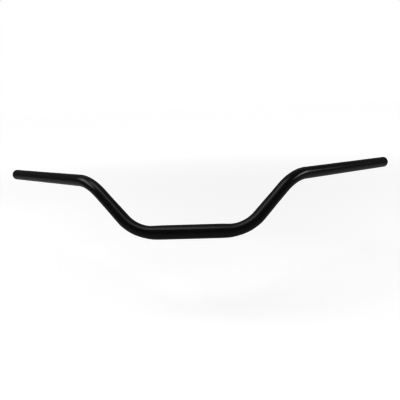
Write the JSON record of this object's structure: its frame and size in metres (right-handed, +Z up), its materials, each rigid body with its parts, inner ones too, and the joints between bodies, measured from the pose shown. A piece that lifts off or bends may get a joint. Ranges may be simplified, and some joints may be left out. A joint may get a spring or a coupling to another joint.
{
  "type": "motorcycle handlebar",
  "caption": "Bare bent steel handlebar tube, swaged from a thick clamp zone to slimmer ends, with a threaded insert recessed in each end.",
  "frame": {"origin": "centre of the clamp zone, on the tube's axis", "axes": "+X along the clamp zone towards the rider's left, +Y back towards the rider, +Z up, with the bar at its mounted attitude: the rises lean back and the grips droop about 3 degrees"},
  "size_m": [0.867, 0.2876, 0.1105],
  "materials": {
    "black_paint": "semi-gloss",
    "zinc_steel": "satin"
  },
  "bodies": {
    "root": {"handlebar_tube": "black_paint", "left_end_insert": "zinc_steel", "right_end_insert": "zinc_steel"}
  },
  "joints": []
}
